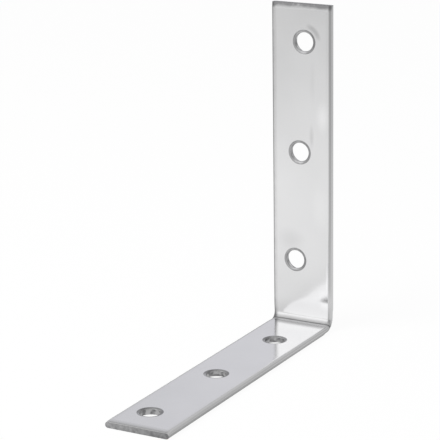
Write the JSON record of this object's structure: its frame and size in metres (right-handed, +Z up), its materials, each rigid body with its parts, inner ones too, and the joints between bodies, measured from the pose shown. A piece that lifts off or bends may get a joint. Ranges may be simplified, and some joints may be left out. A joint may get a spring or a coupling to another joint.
{
  "type": "angle bracket",
  "caption": "Right-angle bracket of bright steel strip with equal legs, rolled long edges and slanting rows of punched screw holes.",
  "frame": {"origin": "under the middle of the foot, on the plane of its underside", "axes": "+Z up along the upright, +Y from the foot's free end toward the upright's back, X across the strip"},
  "size_m": [0.0198, 0.1, 0.1],
  "materials": {
    "bright_steel": "bright, close to mirror, with dull sheared ends"
  },
  "bodies": {
    "root": {"angle_bracket": "bright_steel"}
  },
  "joints": []
}
